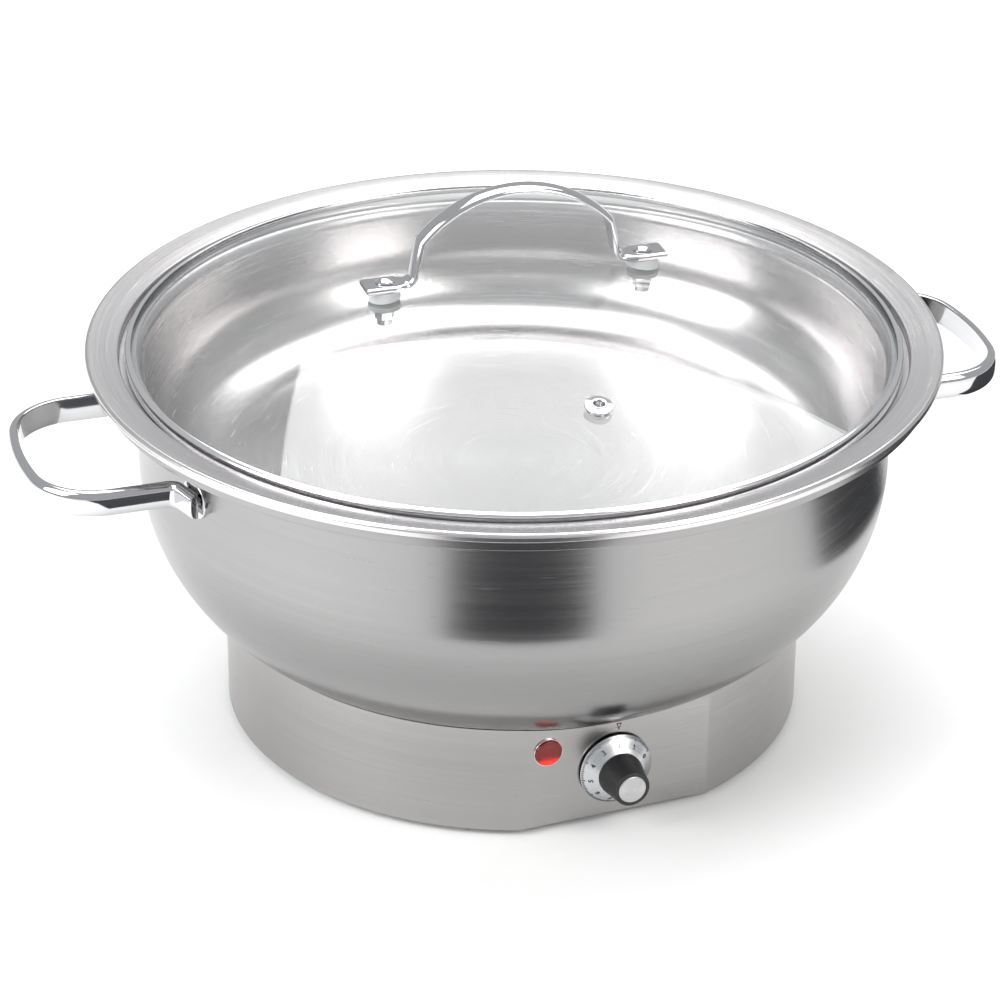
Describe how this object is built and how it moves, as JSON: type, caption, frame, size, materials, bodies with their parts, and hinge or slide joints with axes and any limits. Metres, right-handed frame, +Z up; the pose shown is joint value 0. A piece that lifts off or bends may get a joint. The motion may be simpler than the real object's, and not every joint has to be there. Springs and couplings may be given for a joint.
{
  "type": "electric chafing dish",
  "caption": "Round electric chafing dish with a domed glass lid, food pan, heated water pan, side handles and a drum base with thermostat dial.",
  "frame": {"origin": "on the table surface, under the middle of the dish", "axes": "+Z up, +X towards the right-hand side handle, the control panel faces -Y"},
  "size_m": [0.4778, 0.4, 0.2645],
  "materials": {
    "drum_steel": "vertical satin brushing",
    "sheet_steel": "mill finish sheet",
    "fastener_steel": "zinc plated",
    "bowl_steel": "satin, brushed round the axis",
    "pan_steel": "satin, brushed round the axis",
    "polished_steel": "mirror polished",
    "foot_rubber": "matt",
    "spreader_aluminium": "cast",
    "element_sheath": "heat darkened",
    "ceramic": "glazed ceramic",
    "control_plastic": "moulded",
    "copper_tube": "drawn copper",
    "earth_brass": "turned brass",
    "lamp_red": "clear red lens",
    "pale_plastic": "moulded nylon",
    "wire_brown": "silicone insulation",
    "wire_blue": "silicone insulation",
    "wire_green": "silicone insulation",
    "dial_aluminium": "spun and anodised",
    "knob_black": "fine moulded grain",
    "lid_glass": "clear tempered glass",
    "silicone": "translucent silicone"
  },
  "bodies": {
    "base": {"base_shell": "drum_steel", "base_plate": "sheet_steel", "base_plate_screws": "fastener_steel", "rubber_feet": "foot_rubber", "foot_screws": "fastener_steel", "foot_nuts": "fastener_steel", "pan_brackets": "sheet_steel", "water_pan": "bowl_steel", "pan_studs": "fastener_steel", "pan_nuts": "fastener_steel", "handle_lugs_left": "polished_steel", "handle_lugs_right": "polished_steel", "side_handle_left": "polished_steel", "side_handle_right": "polished_steel", "heat_spreader": "spreader_aluminium", "heating_element": "element_sheath", "element_terminals": "ceramic", "element_clamp_bar": "sheet_steel", "element_clamp_nut": "fastener_steel", "heat_shield": "sheet_steel", "heat_shield_spacers": "fastener_steel", "thermostat_body": "control_plastic", "thermostat_screws": "fastener_steel", "thermostat_bulb": "copper_tube", "bulb_clip": "sheet_steel", "capillary_tube": "copper_tube", "thermal_cutout": "control_plastic", "lamp_lens": "lamp_red", "lamp_bezel": "polished_steel", "lamp_body": "pale_plastic", "lamp_retainer": "sheet_steel", "terminal_block": "pale_plastic", "terminal_block_screws": "fastener_steel", "earth_stud": "earth_brass", "earth_nut": "earth_brass", "gland_body": "control_plastic", "gland_seal": "foot_rubber", "gland_dome_nut": "control_plastic", "gland_locknut": "control_plastic", "live_wires": "wire_brown", "neutral_wires": "wire_blue", "earth_wire": "wire_green", "lamp_wires": "wire_blue"},
    "dial": {"dial_skirt": "dial_aluminium", "dial_knob": "knob_black", "dial_cap": "dial_aluminium", "dial_grub_screw": "fastener_steel", "thermostat_shaft": "earth_brass"},
    "food_pan": {"food_pan": "pan_steel"},
    "lid": {"lid_glass": "lid_glass", "lid_rim": "polished_steel", "lid_handle": "polished_steel", "lid_handle_screws": "polished_steel", "lid_outer_gaskets": "silicone", "lid_inner_gaskets": "silicone", "lid_nuts": "polished_steel", "vent_eyelet": "polished_steel", "vent_grommet": "silicone"}
  },
  "joints": [
    {"name": "food_pan_lift", "type": "slide", "parent": "base", "child": "food_pan", "axis": [0, 0, 1], "range_m": [0, 0.16]},
    {"name": "lid_lift", "type": "slide", "parent": "food_pan", "child": "lid", "axis": [0, 0, 1], "range_m": [0, 0.14]},
    {"name": "dial_turn", "type": "hinge", "parent": "base", "child": "dial", "pos_m": [0, -0.1344, 0.0275], "axis": [0, 1, 0], "range_deg": [-66, 231]}
  ]
}
